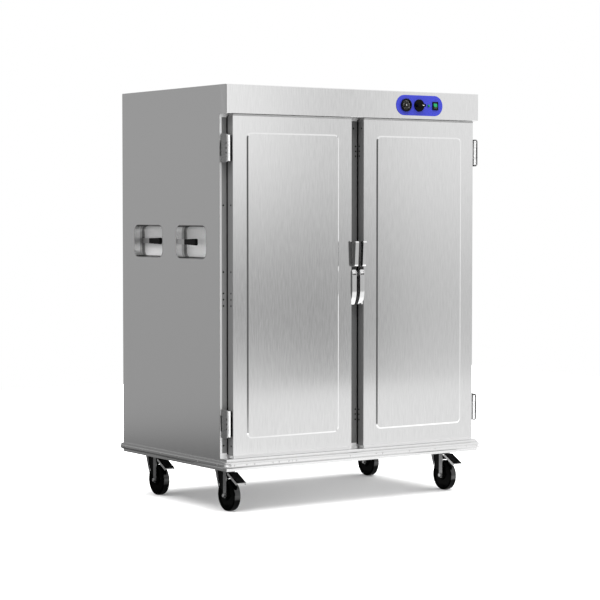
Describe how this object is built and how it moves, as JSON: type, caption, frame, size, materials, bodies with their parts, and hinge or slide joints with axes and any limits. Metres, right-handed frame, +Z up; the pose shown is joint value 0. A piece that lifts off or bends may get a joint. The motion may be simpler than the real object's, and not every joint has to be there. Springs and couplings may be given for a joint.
{
  "type": "banquet trolley",
  "caption": "Heated sheet-steel banquet trolley with hinged insulated doors, lever latches, recessed side grips, a control panel, a bumper rail and braked swivel casters.",
  "frame": {"origin": "on the floor under the middle of the whole trolley's bounding box", "axes": "+X to the right along the front, +Y from the doors to the back, +Z up"},
  "size_m": [1.284, 0.8586, 1.672],
  "materials": {
    "steel": "fine vertical brushing",
    "aluminium": "satin",
    "zinc": "bright zinc plate",
    "cast_alloy": "satin casting",
    "chrome": "polished",
    "black_paint": "black paint",
    "blue_paint": "blue gloss",
    "grey_plastic": "matt",
    "pale_plastic": "satin",
    "grip_plastic": "satin",
    "black_plastic": "gloss",
    "green_plastic": "clear green",
    "foam": "rigid foam",
    "seal_rubber": "matt",
    "wheel_rubber": "matt",
    "glass": "clear"
  },
  "bodies": {
    "cabinet": {"left_side_panel": "steel", "right_side_panel": "steel", "back_panel": "steel", "top_panel": "steel", "header_fascia": "steel", "front_strips": "steel", "front_frame": "grey_plastic", "left_liner": "steel", "right_liner": "steel", "insulation": "foam", "base_frame": "steel", "bumper": "pale_plastic", "bay_runners": "steel", "heater_elements": "steel", "heater_covers": "steel", "handle_cups": "steel", "handle_tangs": "steel", "handle_grips": "grip_plastic", "hinge_frame_leaves": "cast_alloy", "hinge_pins": "steel", "latch_keepers": "steel", "control_plate": "blue_paint", "thermometer_case": "black_plastic", "thermometer_lens": "glass", "thermostat_body": "black_plastic", "pilot_lamp": "green_plastic", "switch_frame": "black_plastic", "power_inlet": "black_plastic", "caster_plates": "zinc"},
    "left_door": {"left_door_outer_skin": "steel", "left_door_edge_frame": "aluminium", "left_door_core": "foam", "left_door_inner_skin": "steel", "left_door_gasket": "seal_rubber", "left_latch_housing": "chrome", "left_hinge_door_leaves": "cast_alloy"},
    "left_latch_lever": {"left_latch_lever": "chrome"},
    "right_door": {"right_door_outer_skin": "steel", "right_door_edge_frame": "aluminium", "right_door_core": "foam", "right_door_inner_skin": "steel", "right_door_gasket": "seal_rubber", "right_latch_housing": "chrome", "right_hinge_door_leaves": "cast_alloy"},
    "right_latch_lever": {"right_latch_lever": "chrome"},
    "thermostat_knob": {"thermostat_knob": "black_plastic"},
    "thermometer_needle": {"thermometer_needle": "black_paint"},
    "switch_rocker": {"switch_rocker": "green_plastic"},
    "front_left_fork": {"front_left_fork": "zinc"},
    "front_left_wheel": {"front_left_wheel": "wheel_rubber"},
    "front_left_brake_pedal": {"front_left_brake_pedal": "black_paint"},
    "front_right_fork": {"front_right_fork": "zinc"},
    "front_right_wheel": {"front_right_wheel": "wheel_rubber"},
    "front_right_brake_pedal": {"front_right_brake_pedal": "black_paint"},
    "back_left_fork": {"back_left_fork": "zinc"},
    "back_left_wheel": {"back_left_wheel": "wheel_rubber"},
    "back_left_brake_pedal": {"back_left_brake_pedal": "black_paint"},
    "back_right_fork": {"back_right_fork": "zinc"},
    "back_right_wheel": {"back_right_wheel": "wheel_rubber"},
    "back_right_brake_pedal": {"back_right_brake_pedal": "black_paint"}
  },
  "joints": [
    {"name": "left_door_hinge", "type": "hinge", "parent": "cabinet", "child": "left_door", "pos_m": [-0.6094, -0.3975, 0.89135], "axis": [0, 0, -1], "range_deg": [0, 170]},
    {"name": "left_latch_pivot", "type": "hinge", "parent": "left_door", "child": "left_latch_lever", "pos_m": [-0.01955, -0.4005, 0.936], "axis": [1, 0, 0], "range_deg": [0, 50], "stiffness_Nm_per_rad": 0.4, "springref_deg": -20.05},
    {"name": "right_door_hinge", "type": "hinge", "parent": "cabinet", "child": "right_door", "pos_m": [0.6094, -0.3975, 0.89135], "axis": [0, 0, 1], "range_deg": [0, 170]},
    {"name": "right_latch_pivot", "type": "hinge", "parent": "right_door", "child": "right_latch_lever", "pos_m": [0.01955, -0.4005, 0.936], "axis": [1, 0, 0], "range_deg": [0, 50], "stiffness_Nm_per_rad": 0.4, "springref_deg": -20.05},
    {"name": "thermostat_turn", "type": "hinge", "parent": "cabinet", "child": "thermostat_knob", "pos_m": [0.308, -0.4055, 1.6155], "axis": [0, 1, 0], "range_deg": [0, 270]},
    {"name": "thermometer_swing", "type": "hinge", "parent": "cabinet", "child": "thermometer_needle", "pos_m": [0.241, -0.4055, 1.6155], "axis": [0, 1, 0], "range_deg": [0, 240], "stiffness_Nm_per_rad": 0.0005},
    {"name": "switch_rock", "type": "hinge", "parent": "cabinet", "child": "switch_rocker", "pos_m": [0.392, -0.4075, 1.6155], "axis": [-1, 0, 0], "range_deg": [0, 14]},
    {"name": "front_left_swivel", "type": "hinge", "parent": "cabinet", "child": "front_left_fork", "pos_m": [-0.541, -0.2535, 0.1566], "axis": [0, 0, 1], "continuous": true},
    {"name": "front_left_roll", "type": "hinge", "parent": "front_left_fork", "child": "front_left_wheel", "pos_m": [-0.541, -0.2885, 0.0625], "axis": [1, 0, 0], "continuous": true},
    {"name": "front_left_brake", "type": "hinge", "parent": "front_left_fork", "child": "front_left_brake_pedal", "pos_m": [-0.541, -0.2315, 0.14], "axis": [1, 0, 0], "range_deg": [0, 3.9]},
    {"name": "front_right_swivel", "type": "hinge", "parent": "cabinet", "child": "front_right_fork", "pos_m": [0.541, -0.2535, 0.1566], "axis": [0, 0, 1], "continuous": true},
    {"name": "front_right_roll", "type": "hinge", "parent": "front_right_fork", "child": "front_right_wheel", "pos_m": [0.541, -0.2885, 0.0625], "axis": [1, 0, 0], "continuous": true},
    {"name": "front_right_brake", "type": "hinge", "parent": "front_right_fork", "child": "front_right_brake_pedal", "pos_m": [0.541, -0.2315, 0.14], "axis": [1, 0, 0], "range_deg": [0, 3.9]},
    {"name": "back_left_swivel", "type": "hinge", "parent": "cabinet", "child": "back_left_fork", "pos_m": [-0.541, 0.2955, 0.1566], "axis": [0, 0, 1], "continuous": true},
    {"name": "back_left_roll", "type": "hinge", "parent": "back_left_fork", "child": "back_left_wheel", "pos_m": [-0.541, 0.2605, 0.0625], "axis": [1, 0, 0], "continuous": true},
    {"name": "back_left_brake", "type": "hinge", "parent": "back_left_fork", "child": "back_left_brake_pedal", "pos_m": [-0.541, 0.3175, 0.14], "axis": [1, 0, 0], "range_deg": [0, 3.9]},
    {"name": "back_right_swivel", "type": "hinge", "parent": "cabinet", "child": "back_right_fork", "pos_m": [0.541, 0.2955, 0.1566], "axis": [0, 0, 1], "continuous": true},
    {"name": "back_right_roll", "type": "hinge", "parent": "back_right_fork", "child": "back_right_wheel", "pos_m": [0.541, 0.2605, 0.0625], "axis": [1, 0, 0], "continuous": true},
    {"name": "back_right_brake", "type": "hinge", "parent": "back_right_fork", "child": "back_right_brake_pedal", "pos_m": [0.541, 0.3175, 0.14], "axis": [1, 0, 0], "range_deg": [0, 3.9]}
  ]
}
